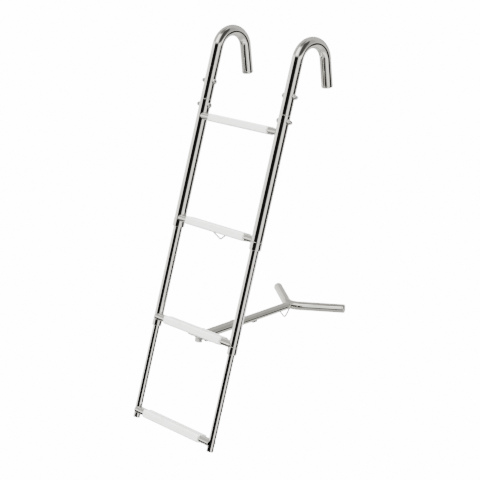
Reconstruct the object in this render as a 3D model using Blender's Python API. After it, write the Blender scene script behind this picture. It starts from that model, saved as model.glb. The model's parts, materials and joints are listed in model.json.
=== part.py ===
"""Telescoping boat boarding ladder that hangs on a gunwale by two hooks.

Frame: metres, +Z up, +X along the rungs, +Y from the ladder towards the boat. The origin is where the
underside of the hooks rests on the gunwale, midway between them. Heights in the constants below are
measured from the axis of the lowest rung and converted by at().
"""

import math

import bmesh
import bpy
from mathutils import Matrix, Vector

# Clearances
GAP = 0.0003
CUT_REACH = 0.030

# Facets round a tube and round a bolt
SEGMENTS = 16
SMALL_SEGMENTS = 10

# Rails: three nested tube sizes on one centre distance
RAIL_SPACING = 0.310
UPPER_R = 0.015875
MIDDLE_R = 0.0127
LOWER_R = 0.009525
RAIL_WALL = 0.0015

# Heights above the axis of the lowest rung
RUNG_HEIGHTS = (0.840, 0.552, 0.269, 0.0)
UPPER_JOINT = 0.887
UPPER_END = 0.5485
MIDDLE_END = 0.2655
LOWER_END = -0.0205
SLEEVE_OVERLAP = 0.075
COLLAR_LENGTH = 0.0215
COLLAR_PROUD = 0.0004
BUSH_RECESS = 0.001
BUSH_REACH = 0.010
SLIDE_WALL = 0.0015
SLIDE_SHANK = 0.012
SLIDE_HEAD = 0.006
PLUG_FLANGE = 0.0022
PLUG_BEVEL = 0.0008
PLUG_SHANK = 0.012

# Hooks
HOOK_BEND_START = 1.0363
HOOK_RADIUS = 0.053
HOOK_ANGLE = math.radians(156.4)
HOOK_LEG = 0.0725
HOOK_BEND_STEPS = 10
SEAT_HEIGHT = HOOK_BEND_START + HOOK_RADIUS - UPPER_R

# Hook joint
COUPLER_BOTTOM = 0.862
COUPLER_TOP = 0.995
COUPLER_WALL = 0.002
BOLT_HEIGHTS = (0.9375, 0.871)
BOLT_R = 0.004
BOLT_HEAD_R = 0.0075
BOLT_HEAD_LENGTH = 0.0055
BOLT_HEAD_BEVEL = 0.001
NUT_R = 0.0075
NUT_LENGTH = 0.0065
DOME_R = 0.0060
NUT_SHOULDER = 0.0005
NUT_DOME_LENGTH = 0.0150

# Rungs and treads
RUNG_DEPTH = 0.030
RUNG_HEIGHT = 0.018
RUNG_WALL = 0.0015
TREAD_DEPTH = 0.0334
TREAD_HEIGHT = 0.0218
TREAD_CORNER = 0.005
TREAD_LENGTH = 0.228

# Stand-off arm, pivoted behind the third rung and sloping up towards the hull
ARM_SLOPE = math.radians(18.8)
PIVOT_BACK = 0.036
PIVOT_HEIGHT = 0.2585
SLEEVE_R = 0.0127
SLEEVE_WALL = 0.0012
SLEEVE_START = -0.009
SLEEVE_END = 0.112
COLLAR_RING_R = 0.0136
COLLAR_RING_LENGTH = 0.008
COLLAR_RING_LIP = 0.002
COLLAR_RING_BEVEL = 0.001
INNER_R = 0.011
INNER_WALL = 0.0015
INNER_START = 0.062
FORK_ROOT = 0.3335
FORK_R = 0.0127
FORK_WALL = 0.0015
FORK_BEND_R = 0.045
FORK_HALF_BEND = math.radians(33.6)
FORK_LEG = 0.1275
FORK_BEND_STEPS = 6
CAP_LIP = 0.003
CAP_BEAD = 0.0045
CAP_SPIGOT = 0.010

# Arm bracket
EAR_INNER = 0.0135
EAR_THICKNESS = 0.003
EAR_HIGH = 0.2740
EAR_FRONT = 0.0085
EAR_CORNER = 0.008
EAR_STEP_GAP = 0.0008
PIVOT_LOBE_R = 0.015
PIN_LOBE_R = 0.0045
WEB_FRONT = -0.009
WEB_BACK = 0.0185
LUG_HALF = 0.009
LUG_FRONT = 0.0145
LUG_BACK = 0.0290
LUG_LOW = 0.2365
LUG_KNEE = 0.2420
LUG_NECK = 0.2530
LUG_NECK_BACK = 0.0180
LUG_ROUND = 0.006
PIVOT_BOLT_R = 0.003
PIVOT_HEAD_R = 0.0055
PIVOT_HEAD_LENGTH = 0.004
PIVOT_NUT_LENGTH = 0.0055
PIVOT_TAIL = 0.0015
STOP_PIN_R = 0.002
STOP_PIN_BACK = 0.050
PIN_HEAD_R = 0.003
PIN_HEAD_LENGTH = 0.0015
SCREW_R = 0.002
SCREW_LENGTH = 0.0085
SCREW_HEAD_R = 0.0038
SCREW_HEAD_LENGTH = 0.0022
SCREW_BEVEL = 0.001
SCREW_SPACING = 0.016

# Lock button and stowing eyes
BUTTON_AT = 0.190
BUTTON_R = 0.0038
BUTTON_HALF = 0.0055
BUTTON_STEPS = 5
BUTTON_PROUD = 0.0045
BUTTON_BEVEL = 0.0012
BUTTON_FLANGE_R = 0.0052
BUTTON_FLANGE_LENGTH = 0.0012
BUTTON_SEAT = 0.0016
SPRING_THICKNESS = 0.0005
SPRING_WIDTH = 0.005
SPRING_SEAT = 0.0022
SPRING_OPENING = 0.004
SPRING_FOLD_AT = -0.012
SPRING_BACK_AT = 0.016
SPRING_TIP_AT = 0.004
EYE_WIRE_R = 0.0021
EYE_BEND_R = 0.006
RUNG_EYE_HALF = 0.024
RUNG_EYE_VERTEX = 0.0095
RUNG_EYE_DROP = 0.0125
RUNG_EYE_BACK = 0.011
ARM_EYE_DROP = 0.0338
ARM_EYE_START = 0.0410
ARM_EYE_VERTEX = 0.0245
ARM_EYE_END = 0.0060

materials = {}


def at(x, back, height):
    """World place from a width, a distance behind the rails and a height above the lowest rung."""
    return Vector((x, back - HOOK_RADIUS, height - SEAT_HEIGHT))


def clear_scene():
    for obj in list(bpy.data.objects):
        bpy.data.objects.remove(obj, do_unlink=True)


def material(name, colour, roughness, metallic):
    if name not in materials:
        mat = bpy.data.materials.new(name)
        mat.use_nodes = True
        shader = mat.node_tree.nodes["Principled BSDF"]
        shader.inputs["Base Color"].default_value = (*colour, 1.0)
        shader.inputs["Roughness"].default_value = roughness
        shader.inputs["Metallic"].default_value = metallic
        mat.diffuse_color = (*colour, 1.0)
        materials[name] = mat
    return materials[name]


def polished_steel():
    return material("polished_steel", (0.77, 0.77, 0.75), 0.10, 1.0)


def bolt_steel():
    return material("bolt_steel", (0.66, 0.66, 0.65), 0.25, 1.0)


def tread_plastic():
    return material("tread_plastic", (0.80, 0.81, 0.79), 0.45, 0.0)


def bush_plastic():
    return material("bush_plastic", (0.05, 0.05, 0.055), 0.5, 0.0)


def spring_steel():
    return material("spring_steel", (0.55, 0.56, 0.57), 0.3, 1.0)


def add_object(name, bm, mat, place=None, rotation=(0.0, 0.0, 0.0), parent=None):
    """Turn a bmesh into a named, smooth-shaded object at its place under its parent."""
    bmesh.ops.recalc_face_normals(bm, faces=bm.faces)
    mesh = bpy.data.meshes.new(name)
    bm.to_mesh(mesh)
    bm.free()
    mesh.materials.append(mat)
    mesh.shade_smooth()
    mesh.set_sharp_from_angle(angle=math.radians(40))
    obj = bpy.data.objects.new(name, mesh)
    bpy.context.scene.collection.objects.link(obj)
    obj.location = place if place is not None else (0.0, 0.0, 0.0)
    obj.rotation_euler = rotation
    obj.parent = parent
    return obj


def add_empty(name, place, rotation=(0.0, 0.0, 0.0), parent=None):
    empty = bpy.data.objects.new(name, None)
    bpy.context.scene.collection.objects.link(empty)
    empty.location = place
    empty.rotation_euler = rotation
    empty.parent = parent
    return empty


def cut(obj, bm, place, rotation=(0.0, 0.0, 0.0), parent=None):
    """Cut a closed shape out of an object with a hidden cutter."""
    cutter = add_object(obj.name + "_cutter", bm, polished_steel(), place, rotation, parent)
    cutter.hide_render = True
    cutter.display_type = "WIRE"
    modifier = obj.modifiers.new("cut", "BOOLEAN")
    modifier.operation = "DIFFERENCE"
    modifier.object = cutter


def turned(profile, segments=SEGMENTS, closed=True):
    """Revolve an (r, z) outline about Z. An open outline starts and ends on the axis."""
    bm = bmesh.new()
    verts = [bm.verts.new((r, 0.0, z)) for r, z in profile]
    pairs = list(zip(verts, verts[1:]))
    if closed:
        pairs.append((verts[-1], verts[0]))
    edges = [bm.edges.new(pair) for pair in pairs]
    bmesh.ops.spin(
        bm,
        geom=verts + edges,
        cent=(0.0, 0.0, 0.0),
        axis=(0.0, 0.0, 1.0),
        angle=math.tau,
        steps=segments,
    )
    bmesh.ops.remove_doubles(bm, verts=bm.verts, dist=0.000001)
    return bm


def ring_profile(outer, inner, low, high):
    return [(outer, low), (outer, high), (inner, high), (inner, low)]


def rod_profile(radius, low, high):
    return [(0.0, low), (radius, low), (radius, high), (0.0, high)]


def rod(radius, low, high, segments=SMALL_SEGMENTS):
    return turned(rod_profile(radius, low, high), segments, closed=False)


def wall_faces(bm, outer, inner):
    """Quads between an outer and an inner ring of as many points: the end face of a hollow bar."""
    rings = [[bm.verts.new(point) for point in ring] for ring in (outer, inner)]
    quads = zip(rings[0], rings[0][1:] + rings[0][:1], rings[1][1:] + rings[1][:1], rings[1])
    return [bm.faces.new(quad) for quad in quads]


def circle_points(radius, segments):
    turns = [math.tau * i / segments for i in range(segments)]
    return [(radius * math.cos(a), radius * math.sin(a), 0.0) for a in turns]


def run_straight(bm, faces, move):
    """Extrude the end face of a bar in a straight line and return its new end face."""
    made = bmesh.ops.extrude_face_region(bm, geom=faces)["geom"]
    verts = [g for g in made if isinstance(g, bmesh.types.BMVert)]
    bmesh.ops.translate(bm, verts=verts, vec=move)
    return [g for g in made if isinstance(g, bmesh.types.BMFace)]


def run_bend(bm, faces, centre, axis, angle, steps):
    """Spin the end face of a bar round a bend and return its new end face."""
    made = bmesh.ops.spin(bm, geom=faces, cent=centre, axis=axis, angle=angle, steps=steps)
    bmesh.ops.delete(bm, geom=faces, context="FACES")
    return [g for g in made["geom_last"] if isinstance(g, bmesh.types.BMFace)]


def bent_tube(outer, inner, first, bend_radius, angle, last, steps):
    """Hollow tube along +Z, then round a bend towards +Y, then straight."""
    bm = bmesh.new()
    faces = wall_faces(bm, circle_points(outer, SEGMENTS), circle_points(inner, SEGMENTS))
    faces = run_straight(bm, faces, Vector((0.0, 0.0, first)))
    centre = Vector((0.0, bend_radius, first))
    faces = run_bend(bm, faces, centre, Vector((-1.0, 0.0, 0.0)), angle, steps)
    direction = Vector((0.0, math.sin(angle), math.cos(angle)))
    run_straight(bm, faces, direction * last)
    bmesh.ops.delete(bm, geom=faces, context="FACES")
    return bm


def bent_tube_end(first, bend_radius, angle, last):
    """End of the centre line of bent_tube, in its own frame."""
    y = bend_radius * (1.0 - math.cos(angle)) + last * math.sin(angle)
    z = first + bend_radius * math.sin(angle) + last * math.cos(angle)
    return Vector((0.0, y, z))


def rounded_outline(depth, height, corner, steps=4):
    """Points of a rounded rectangle in the YZ plane."""
    points = []
    centres = ((1, 1), (-1, 1), (-1, -1), (1, -1))
    for quarter, (sy, sz) in enumerate(centres):
        cy = sy * (depth / 2 - corner)
        cz = sz * (height / 2 - corner)
        for step in range(steps + 1):
            a = (quarter + step / steps) * math.pi / 2
            points.append((cy + corner * math.cos(a), cz + corner * math.sin(a)))
    return points


def outline_sleeve(outer, inner, length):
    """Hollow bar along X between two outlines of the YZ plane."""
    bm = bmesh.new()
    rings = [[(-length / 2, y, z) for y, z in outline] for outline in (outer, inner)]
    faces = wall_faces(bm, *rings)
    run_straight(bm, faces, Vector((length, 0.0, 0.0)))
    bmesh.ops.remove_doubles(bm, verts=bm.verts, dist=0.000001)
    return bm


def cap_profile(radius, bore):
    """End cap: rounded head outside the tube and a spigot inside its bore, pointing along +Z."""
    head = [(0.0, CAP_LIP + CAP_BEAD)]
    steps = 4
    for step in range(steps + 1):
        a = math.pi / 2 * (1 - step / steps)
        head.append((radius - CAP_BEAD + CAP_BEAD * math.cos(a), CAP_LIP + CAP_BEAD * math.sin(a)))
    spigot = bore - GAP
    return head + [(radius, GAP), (spigot, GAP), (spigot, -CAP_SPIGOT), (0.0, -CAP_SPIGOT)]


def side_name(side):
    return "left" if side < 0 else "right"


def hook(side):
    """One gunwale hook with its tip cap."""
    x = side * RAIL_SPACING / 2
    name = side_name(side)
    straight = HOOK_BEND_START - UPPER_JOINT - GAP
    bore = UPPER_R - RAIL_WALL
    bm = bent_tube(UPPER_R, bore, straight, HOOK_RADIUS, HOOK_ANGLE, HOOK_LEG, HOOK_BEND_STEPS)
    base = at(x, 0.0, UPPER_JOINT + GAP)
    tube = add_object("hook_tube_" + name, bm, polished_steel(), base)
    cut_bolt_holes(tube, x, BOLT_HEIGHTS[:1])
    tip = base + bent_tube_end(straight, HOOK_RADIUS, HOOK_ANGLE, HOOK_LEG)
    cap = turned(cap_profile(UPPER_R, bore), closed=False)
    add_object("hook_tip_cap_" + name, cap, polished_steel(), tip, (-HOOK_ANGLE, 0.0, 0.0))


def cut_bolt_holes(obj, x, heights):
    for height in heights:
        hole = rod(BOLT_R + GAP, -2 * UPPER_R, 2 * UPPER_R)
        cut(obj, hole, at(x, 0.0, height), (0.0, math.pi / 2, 0.0))


def hook_joint(side):
    """Inner coupler tube, through bolts and domed nuts that hold one hook on its rail."""
    x = side * RAIL_SPACING / 2
    name = side_name(side)
    outer = UPPER_R - RAIL_WALL - GAP
    bm = turned(ring_profile(outer, outer - COUPLER_WALL, 0.0, COUPLER_TOP - COUPLER_BOTTOM))
    coupler = add_object("hook_coupler_" + name, bm, bolt_steel(), at(x, 0.0, COUPLER_BOTTOM))
    cut_bolt_holes(coupler, x, BOLT_HEIGHTS)
    for level, height in zip(("upper", "lower"), BOLT_HEIGHTS):
        hook_bolt(side, x, height, name + "_" + level)
        hook_nut(side, x, height, name + "_" + level)


def hook_bolt(side, x, height, label):
    """Bolt along X with its head on the inner side of the rail and its end inside the nut."""
    seat = UPPER_R + GAP
    end = UPPER_R + GAP + NUT_LENGTH
    profile = [
        (0.0, -seat - BOLT_HEAD_LENGTH),
        (BOLT_HEAD_R - BOLT_HEAD_BEVEL, -seat - BOLT_HEAD_LENGTH),
        (BOLT_HEAD_R, -seat - BOLT_HEAD_LENGTH + BOLT_HEAD_BEVEL),
        (BOLT_HEAD_R, -seat),
        (BOLT_R, -seat),
        (BOLT_R, end),
        (0.0, end),
    ]
    bm = turned(profile, SMALL_SEGMENTS, closed=False)
    turn = (0.0, side * math.pi / 2, 0.0)
    add_object("hook_bolt_" + label, bm, bolt_steel(), at(x, 0.0, height), turn)


def hook_nut(side, x, height, label):
    """Domed nut on the outer side of the rail, blind on the outside."""
    low = UPPER_R + GAP
    bore = BOLT_R + GAP
    bore_end = low + NUT_LENGTH + 2 * GAP
    shoulder = low + NUT_LENGTH
    dome_start = shoulder + NUT_SHOULDER
    dome_length = NUT_DOME_LENGTH - NUT_LENGTH
    profile = [(0.0, bore_end), (bore, bore_end), (bore, low), (NUT_R, low), (NUT_R, shoulder)]
    steps = 4
    for step in range(steps):
        a = math.pi / 2 * step / steps
        profile.append((DOME_R * math.cos(a), dome_start + dome_length * math.sin(a)))
    profile.append((0.0, dome_start + dome_length))
    bm = turned(profile, SMALL_SEGMENTS, closed=False)
    turn = (0.0, side * math.pi / 2, 0.0)
    add_object("hook_nut_" + label, bm, bolt_steel(), at(x, 0.0, height), turn)


def rail_tube(name, x, radius, low, high, parent=None):
    bm = turned(ring_profile(radius, radius - RAIL_WALL, 0.0, high - low))
    place = at(x, 0.0, low)
    return add_object(name, bm, polished_steel(), place, parent=parent)


def rail_collar(name, x, outer_r, inner_r, tube_end):
    """Steel ferrule that ends an outer tube just below its rung."""
    low = tube_end - GAP - COLLAR_LENGTH
    bm = turned(ring_profile(outer_r + COLLAR_PROUD, outer_r - RAIL_WALL, 0.0, COLLAR_LENGTH))
    add_object(name.format("collar"), bm, polished_steel(), at(x, 0.0, low))
    bush_outer = outer_r - RAIL_WALL - GAP
    bush_inner = inner_r + GAP
    bush = turned(ring_profile(bush_outer, bush_inner, 0.0, COLLAR_LENGTH + BUSH_REACH))
    add_object(name.format("guide_bush"), bush, bush_plastic(), at(x, 0.0, low + BUSH_RECESS))


def top_slide(name, x, tube_r, outer_bore, top):
    """Plastic slide plugged into the top of an inner tube and running in the tube above."""
    head = outer_bore - GAP
    shank = tube_r - RAIL_WALL - GAP
    bore = shank - SLIDE_WALL
    profile = [
        (bore, -SLIDE_SHANK),
        (shank, -SLIDE_SHANK),
        (shank, GAP),
        (head, GAP),
        (head, SLIDE_HEAD),
        (bore, SLIDE_HEAD),
    ]
    add_object(name, turned(profile), bush_plastic(), at(x, 0.0, top))


def rung(number, rail_r):
    """Flat oval rung tube coped onto both rails, with its tread sleeve."""
    height = RUNG_HEIGHTS[number - 1]
    corner = RUNG_HEIGHT / 2
    outer = rounded_outline(RUNG_DEPTH, RUNG_HEIGHT, corner)
    inner_size = (RUNG_DEPTH - 2 * RUNG_WALL, RUNG_HEIGHT - 2 * RUNG_WALL)
    inner = rounded_outline(*inner_size, corner - RUNG_WALL)
    bm = outline_sleeve(outer, inner, RAIL_SPACING)
    tube = add_object("rung_{}_tube".format(number), bm, polished_steel(), at(0.0, 0.0, height))
    for side in (-1, 1):
        cope = rod(rail_r + COLLAR_PROUD + GAP, -CUT_REACH, CUT_REACH, SEGMENTS)
        cut(tube, cope, at(side * RAIL_SPACING / 2, 0.0, height))
    outline = rounded_outline(TREAD_DEPTH, TREAD_HEIGHT, TREAD_CORNER)
    bore = rounded_outline(RUNG_DEPTH + 2 * GAP, RUNG_HEIGHT + 2 * GAP, corner + GAP)
    bm = outline_sleeve(outline, bore, TREAD_LENGTH)
    tread = add_object("rung_{}_tread".format(number), bm, tread_plastic(), at(0.0, 0.0, height))
    return tube, tread


def upper_frame():
    """Hooks, widest rails and the two top rungs."""
    for side in (-1, 1):
        x = side * RAIL_SPACING / 2
        name = side_name(side)
        hook(side)
        hook_joint(side)
        rail = rail_tube("upper_rail_" + name, x, UPPER_R, UPPER_END, UPPER_JOINT)
        cut_bolt_holes(rail, x, BOLT_HEIGHTS[1:])
        rail_collar("upper_{}_" + name, x, UPPER_R, MIDDLE_R, UPPER_END)
    rung(1, UPPER_R)
    rung(2, UPPER_R)
    rung_eye()


def middle_section():
    """Second rails, which slide up inside the upper ones, the third rung and the arm bracket."""
    top = UPPER_END - GAP - COLLAR_LENGTH + SLEEVE_OVERLAP
    for side in (-1, 1):
        x = side * RAIL_SPACING / 2
        name = side_name(side)
        rail_tube("middle_rail_" + name, x, MIDDLE_R, MIDDLE_END, top)
        top_slide("middle_top_slide_" + name, x, MIDDLE_R, UPPER_R - RAIL_WALL, top)
        rail_collar("middle_{}_" + name, x, MIDDLE_R, LOWER_R, MIDDLE_END)
    tube, tread = rung(3, MIDDLE_R)
    arm_bracket(tube, tread)


def lower_section():
    """Thinnest rails, which slide up inside the middle ones, and the lowest rung."""
    top = MIDDLE_END - GAP - COLLAR_LENGTH + SLEEVE_OVERLAP
    for side in (-1, 1):
        x = side * RAIL_SPACING / 2
        name = side_name(side)
        rail_tube("lower_rail_" + name, x, LOWER_R, LOWER_END, top)
        top_slide("lower_top_slide_" + name, x, LOWER_R, MIDDLE_R - RAIL_WALL, top)
        foot_plug(name, x)
    rung(4, LOWER_R)


def foot_plug(name, x):
    """Plastic plug in the bottom of a rail, with a flat flange under its end."""
    shank = LOWER_R - RAIL_WALL - GAP
    profile = [
        (0.0, -PLUG_FLANGE),
        (LOWER_R - PLUG_BEVEL, -PLUG_FLANGE),
        (LOWER_R, -PLUG_FLANGE + PLUG_BEVEL),
        (LOWER_R, -GAP),
        (shank, -GAP),
        (shank, PLUG_SHANK),
        (0.0, PLUG_SHANK),
    ]
    bm = turned(profile, closed=False)
    add_object("foot_plug_" + name, bm, bush_plastic(), at(x, 0.0, LOWER_END))


def bent_wire(points, name, mat, place, parent=None):
    """Round wire through a few points with its bends rounded by the curve's own smoothing."""
    curve = bpy.data.curves.new(name, "CURVE")
    curve.dimensions = "3D"
    curve.bevel_depth = EYE_WIRE_R
    curve.bevel_resolution = 2
    curve.resolution_u = 1
    curve.render_resolution_u = 0
    curve.use_fill_caps = True
    spline = curve.splines.new("POLY")
    spline.points.add(len(points) - 1)
    for point, co in zip(spline.points, points):
        point.co = (*co, 1.0)
    curve.materials.append(mat)
    obj = bpy.data.objects.new(name, curve)
    bpy.context.scene.collection.objects.link(obj)
    obj.location = place
    obj.parent = parent
    return obj


def vee_points(start, vertex, end, radius, steps=4):
    """Points of a V whose vertex is rounded to a radius."""
    a = (start - vertex).normalized()
    b = (end - vertex).normalized()
    half = a.angle(b) / 2
    reach = radius / math.tan(half)
    centre = vertex + (a + b).normalized() * (radius / math.sin(half))
    first = (vertex + a * reach - centre).normalized()
    last = (vertex + b * reach - centre).normalized()
    points = [start]
    for step in range(steps + 1):
        points.append(centre + first.slerp(last, step / steps) * radius)
    points.append(end)
    return points


def rung_eye():
    """V-shaped wire eye under the middle of the second rung, for tying the folded arm."""
    top = -TREAD_HEIGHT / 2 - GAP
    start = Vector((-RUNG_EYE_HALF, 0.0, top - EYE_WIRE_R))
    end = Vector((RUNG_EYE_HALF, 0.0, top - EYE_WIRE_R))
    vertex = Vector((RUNG_EYE_VERTEX, 0.0, top - RUNG_EYE_DROP))
    points = vee_points(start, vertex, end, EYE_BEND_R)
    bent_wire(points, "rung_eye", bolt_steel(), at(0.0, RUNG_EYE_BACK, RUNG_HEIGHTS[1]))


def bracket_web():
    """Flat plate under the rung that joins both ears."""
    top = RUNG_HEIGHTS[2] - TREAD_HEIGHT / 2 - GAP
    return top - EAR_THICKNESS, top


def arc_points(centre_back, centre_height, radius, first, last, steps):
    """Points of an arc in the plane of the ears, from one angle in degrees to another."""
    points = []
    for step in range(steps + 1):
        a = math.radians(first + (last - first) * step / steps)
        points.append((centre_back + radius * math.cos(a), centre_height + radius * math.sin(a)))
    return points


def ear_points():
    """Ear outline: a lobe round the pivot, a small one round the stop pin and a step up behind the tread."""
    web_low, web_top = bracket_web()
    step_back = TREAD_DEPTH / 2 + EAR_STEP_GAP
    back = STOP_PIN_BACK + PIN_LOBE_R - EAR_CORNER
    points = [(EAR_FRONT, web_top), (EAR_FRONT, web_low)]
    points += arc_points(PIVOT_BACK, PIVOT_HEIGHT, PIVOT_LOBE_R, 215, 300, 5)
    points += arc_points(STOP_PIN_BACK, stop_pin_height(), PIN_LOBE_R, 225, 360, 4)
    points += arc_points(back, EAR_HIGH - EAR_CORNER, EAR_CORNER, 0, 90, 3)
    return points + [(step_back, EAR_HIGH), (step_back, web_top)]


def bracket_lug():
    """Rounded lug under the web, cut away behind so that the end of the arm can turn past it."""
    web_low, web_top = bracket_web()
    top = (web_low + web_top) / 2
    outline = [
        (LUG_FRONT, top),
        (LUG_FRONT, LUG_LOW),
        (LUG_BACK, LUG_LOW),
        (LUG_BACK, LUG_KNEE),
        (LUG_NECK_BACK, LUG_NECK),
        (LUG_NECK_BACK, top),
    ]
    bm = bmesh.new()
    face = bm.faces.new([bm.verts.new((-LUG_HALF, y, z)) for y, z in outline])
    made = bmesh.ops.extrude_face_region(bm, geom=[face])["geom"]
    verts = [g for g in made if isinstance(g, bmesh.types.BMVert)]
    bmesh.ops.translate(bm, verts=verts, vec=(2 * LUG_HALF, 0.0, 0.0))
    low_verts = {vert for vert in bm.verts if vert.co.z < LUG_LOW + GAP}
    low_sides = [e for e in bm.edges if low_verts.issuperset(e.verts) and e.verts[0].co.x * e.verts[1].co.x > 0]
    bmesh.ops.bevel(bm, geom=low_sides, offset=LUG_ROUND, segments=3, profile=0.5, affect="EDGES")
    return bm


def arm_bracket(rung_tube, tread):
    """Plate screwed under the third rung: a web with a lug, and two ears that carry the pivot."""
    low, high = bracket_web()
    bm = bmesh.new()
    for side in (-1, 1):
        x = side * EAR_INNER
        face = bm.faces.new([bm.verts.new((x, y, z)) for y, z in ear_points()])
        made = bmesh.ops.extrude_face_region(bm, geom=[face])["geom"]
        verts = [g for g in made if isinstance(g, bmesh.types.BMVert)]
        bmesh.ops.translate(bm, verts=verts, vec=(side * EAR_THICKNESS, 0.0, 0.0))
    bracket = add_object("arm_bracket", bm, polished_steel(), at(0.0, 0.0, 0.0))
    web = bmesh.new()
    bmesh.ops.create_cube(web, size=1.0)
    width = 2 * EAR_INNER + EAR_THICKNESS
    bmesh.ops.scale(web, verts=web.verts, vec=(width, WEB_BACK - WEB_FRONT, high - low))
    join(bracket, "web", web, at(0.0, (WEB_FRONT + WEB_BACK) / 2, (low + high) / 2))
    join(bracket, "lug", bracket_lug(), at(0.0, 0.0, 0.0))
    ear_hole = rod(PIVOT_BOLT_R + GAP, -CUT_REACH, CUT_REACH)
    cut(bracket, ear_hole, at(0.0, PIVOT_BACK, PIVOT_HEIGHT), (0.0, math.pi / 2, 0.0))
    stop_height = stop_pin_height()
    pin_hole = rod(STOP_PIN_R + GAP, -CUT_REACH, CUT_REACH)
    cut(bracket, pin_hole, at(0.0, STOP_PIN_BACK, stop_height), (0.0, math.pi / 2, 0.0))
    for side in (-1, 1):
        bracket_screw(side, bracket, rung_tube, tread)
    stop_pin(stop_height)
    pivot_bolt()


def join(obj, what, bm, place):
    """Add a closed shape to an object with a hidden helper and a Boolean union."""
    helper = add_object(obj.name + "_" + what, bm, polished_steel(), place)
    helper.hide_render = True
    helper.display_type = "WIRE"
    modifier = obj.modifiers.new("join_" + what, "BOOLEAN")
    modifier.operation = "UNION"
    modifier.object = helper


def bracket_screw(side, bracket, rung_tube, tread):
    """Screw up through the web, the tread and the lower wall of the rung tube."""
    low, _ = bracket_web()
    x = side * SCREW_SPACING / 2
    for obj in (bracket, tread, rung_tube):
        hole = rod(SCREW_R + GAP, -SCREW_HEAD_LENGTH, SCREW_LENGTH + GAP)
        cut(obj, hole, at(x, 0.0, low))
    profile = [
        (0.0, -SCREW_HEAD_LENGTH),
        (SCREW_HEAD_R - SCREW_BEVEL, -SCREW_HEAD_LENGTH),
        (SCREW_HEAD_R, -SCREW_HEAD_LENGTH + SCREW_BEVEL),
        (SCREW_HEAD_R, -GAP),
        (SCREW_R, -GAP),
        (SCREW_R, SCREW_LENGTH),
        (0.0, SCREW_LENGTH),
    ]
    bm = turned(profile, SMALL_SEGMENTS, closed=False)
    add_object("bracket_screw_" + side_name(side), bm, bolt_steel(), at(x, 0.0, low))


def stop_pin_height():
    """Height of the pin on which the arm's underside rests."""
    axis_height = PIVOT_HEIGHT + (STOP_PIN_BACK - PIVOT_BACK) * math.tan(ARM_SLOPE)
    return axis_height - (SLEEVE_R + STOP_PIN_R + GAP) / math.cos(ARM_SLOPE)


def stop_pin(height):
    """Pin across both ears, with a small head on each side."""
    outside = EAR_INNER + EAR_THICKNESS + GAP
    profile = [
        (0.0, -outside - PIN_HEAD_LENGTH),
        (PIN_HEAD_R, -outside - PIN_HEAD_LENGTH),
        (PIN_HEAD_R, -outside),
        (STOP_PIN_R, -outside),
        (STOP_PIN_R, outside),
        (PIN_HEAD_R, outside),
        (PIN_HEAD_R, outside + PIN_HEAD_LENGTH),
        (0.0, outside + PIN_HEAD_LENGTH),
    ]
    bm = turned(profile, SMALL_SEGMENTS, closed=False)
    turn = (0.0, math.pi / 2, 0.0)
    add_object("arm_stop_pin", bm, bolt_steel(), at(0.0, STOP_PIN_BACK, height), turn)


def pivot_bolt():
    """Bolt along X through both ears and the arm, with a nut on its left end."""
    outside = EAR_INNER + EAR_THICKNESS + GAP
    nut_end = outside + PIVOT_NUT_LENGTH
    tail = nut_end + PIVOT_TAIL
    head_end = outside + PIVOT_HEAD_LENGTH
    profile = [
        (0.0, -tail),
        (PIVOT_BOLT_R, -tail),
        (PIVOT_BOLT_R, outside),
        (PIVOT_HEAD_R, outside),
        (PIVOT_HEAD_R, head_end - BOLT_HEAD_BEVEL),
        (PIVOT_HEAD_R - BOLT_HEAD_BEVEL, head_end),
        (0.0, head_end),
    ]
    bm = turned(profile, SMALL_SEGMENTS, closed=False)
    place = at(0.0, PIVOT_BACK, PIVOT_HEIGHT)
    turn = (0.0, math.pi / 2, 0.0)
    add_object("arm_pivot_bolt", bm, bolt_steel(), place, turn)
    nut_profile = ring_profile(PIVOT_HEAD_R, PIVOT_BOLT_R + GAP, -nut_end, -outside)
    nut = turned(nut_profile, SMALL_SEGMENTS)
    add_object("arm_pivot_nut", nut, bolt_steel(), place, turn)


def arm_pivot():
    """Empty on the arm's hinge: its Z runs out along the arm and its Y points to the underside."""
    tilt = ARM_SLOPE - math.pi / 2
    return add_empty("arm_pivot", at(0.0, PIVOT_BACK, PIVOT_HEIGHT), (tilt, 0.0, 0.0))


def standoff_arm(pivot):
    """Outer sleeve of the arm and the steel collar at its mouth."""
    bore = SLEEVE_R - SLEEVE_WALL
    bm = turned(ring_profile(SLEEVE_R, bore, SLEEVE_START, SLEEVE_END))
    sleeve = add_object("arm_sleeve", bm, polished_steel(), parent=pivot)
    hole = rod(PIVOT_BOLT_R + GAP, -CUT_REACH, CUT_REACH)
    cut(sleeve, hole, (0.0, 0.0, 0.0), (0.0, math.pi / 2, 0.0), pivot)
    lip = SLEEVE_END + GAP
    profile = [
        (SLEEVE_R + GAP, SLEEVE_END - COLLAR_RING_LENGTH),
        (COLLAR_RING_R, SLEEVE_END - COLLAR_RING_LENGTH),
        (COLLAR_RING_R, lip + COLLAR_RING_LIP - COLLAR_RING_BEVEL),
        (COLLAR_RING_R - COLLAR_RING_BEVEL, lip + COLLAR_RING_LIP),
        (INNER_R + GAP, lip + COLLAR_RING_LIP),
        (INNER_R + GAP, lip),
        (SLEEVE_R + GAP, lip),
    ]
    add_object("arm_sleeve_collar", turned(profile), polished_steel(), parent=pivot)


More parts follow.
